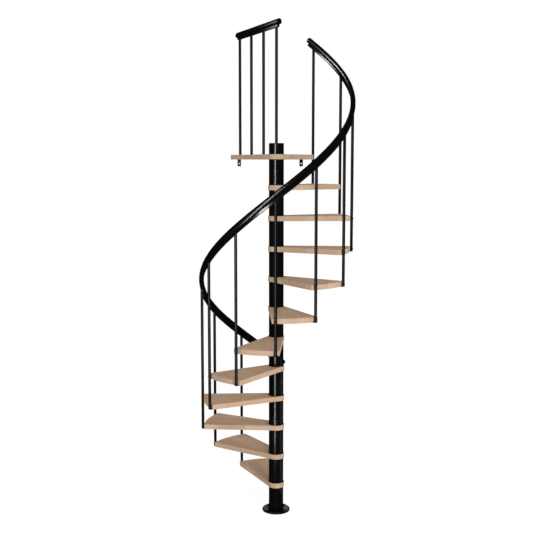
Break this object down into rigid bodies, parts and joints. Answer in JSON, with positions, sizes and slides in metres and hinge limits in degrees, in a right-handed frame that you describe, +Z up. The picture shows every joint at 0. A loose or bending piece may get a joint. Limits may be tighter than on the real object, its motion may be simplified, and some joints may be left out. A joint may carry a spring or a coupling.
{
  "type": "spiral staircase",
  "caption": "Spiral staircase of wedge-shaped beech treads on a round steel column, with slim steel balusters, a helical handrail and a guarded landing.",
  "frame": {"origin": "centre of the base flange's underside, on the column's axis at floor level", "axes": "+Z up along the column, +Y from the column to the landing's back edge, +X to the right seen from the side that looks along +Y"},
  "size_m": [1.1695, 1.3105, 3.745],
  "materials": {
    "black_steel": "smooth black powder coat",
    "beech": "laminated beech staves, clear satin lacquer",
    "black_grip": "moulded black plastic, glossy"
  },
  "bodies": {
    "root": {"base_flange": "black_steel", "centre_pole": "black_steel", "column_head": "black_steel", "spacer_01": "black_steel", "spacer_02": "black_steel", "spacer_03": "black_steel", "spacer_04": "black_steel", "spacer_05": "black_steel", "spacer_06": "black_steel", "spacer_07": "black_steel", "spacer_08": "black_steel", "spacer_09": "black_steel", "spacer_10": "black_steel", "spacer_11": "black_steel", "spacer_12": "black_steel", "wall_brackets": "black_steel", "baluster_00": "black_steel", "baluster_01": "black_steel", "baluster_02": "black_steel", "baluster_03": "black_steel", "baluster_04": "black_steel", "baluster_05": "black_steel", "baluster_06": "black_steel", "baluster_07": "black_steel", "baluster_08": "black_steel", "baluster_09": "black_steel", "baluster_10": "black_steel", "baluster_11": "black_steel", "handrail_band": "black_steel", "guard_balusters": "black_steel", "guard_band": "black_steel", "tread_01": "beech", "tread_02": "beech", "tread_03": "beech", "tread_04": "beech", "tread_05": "beech", "tread_06": "beech", "tread_07": "beech", "tread_08": "beech", "tread_09": "beech", "tread_10": "beech", "tread_11": "beech", "landing": "beech", "handrail": "black_grip", "guard_rail": "black_grip"}
  },
  "joints": []
}
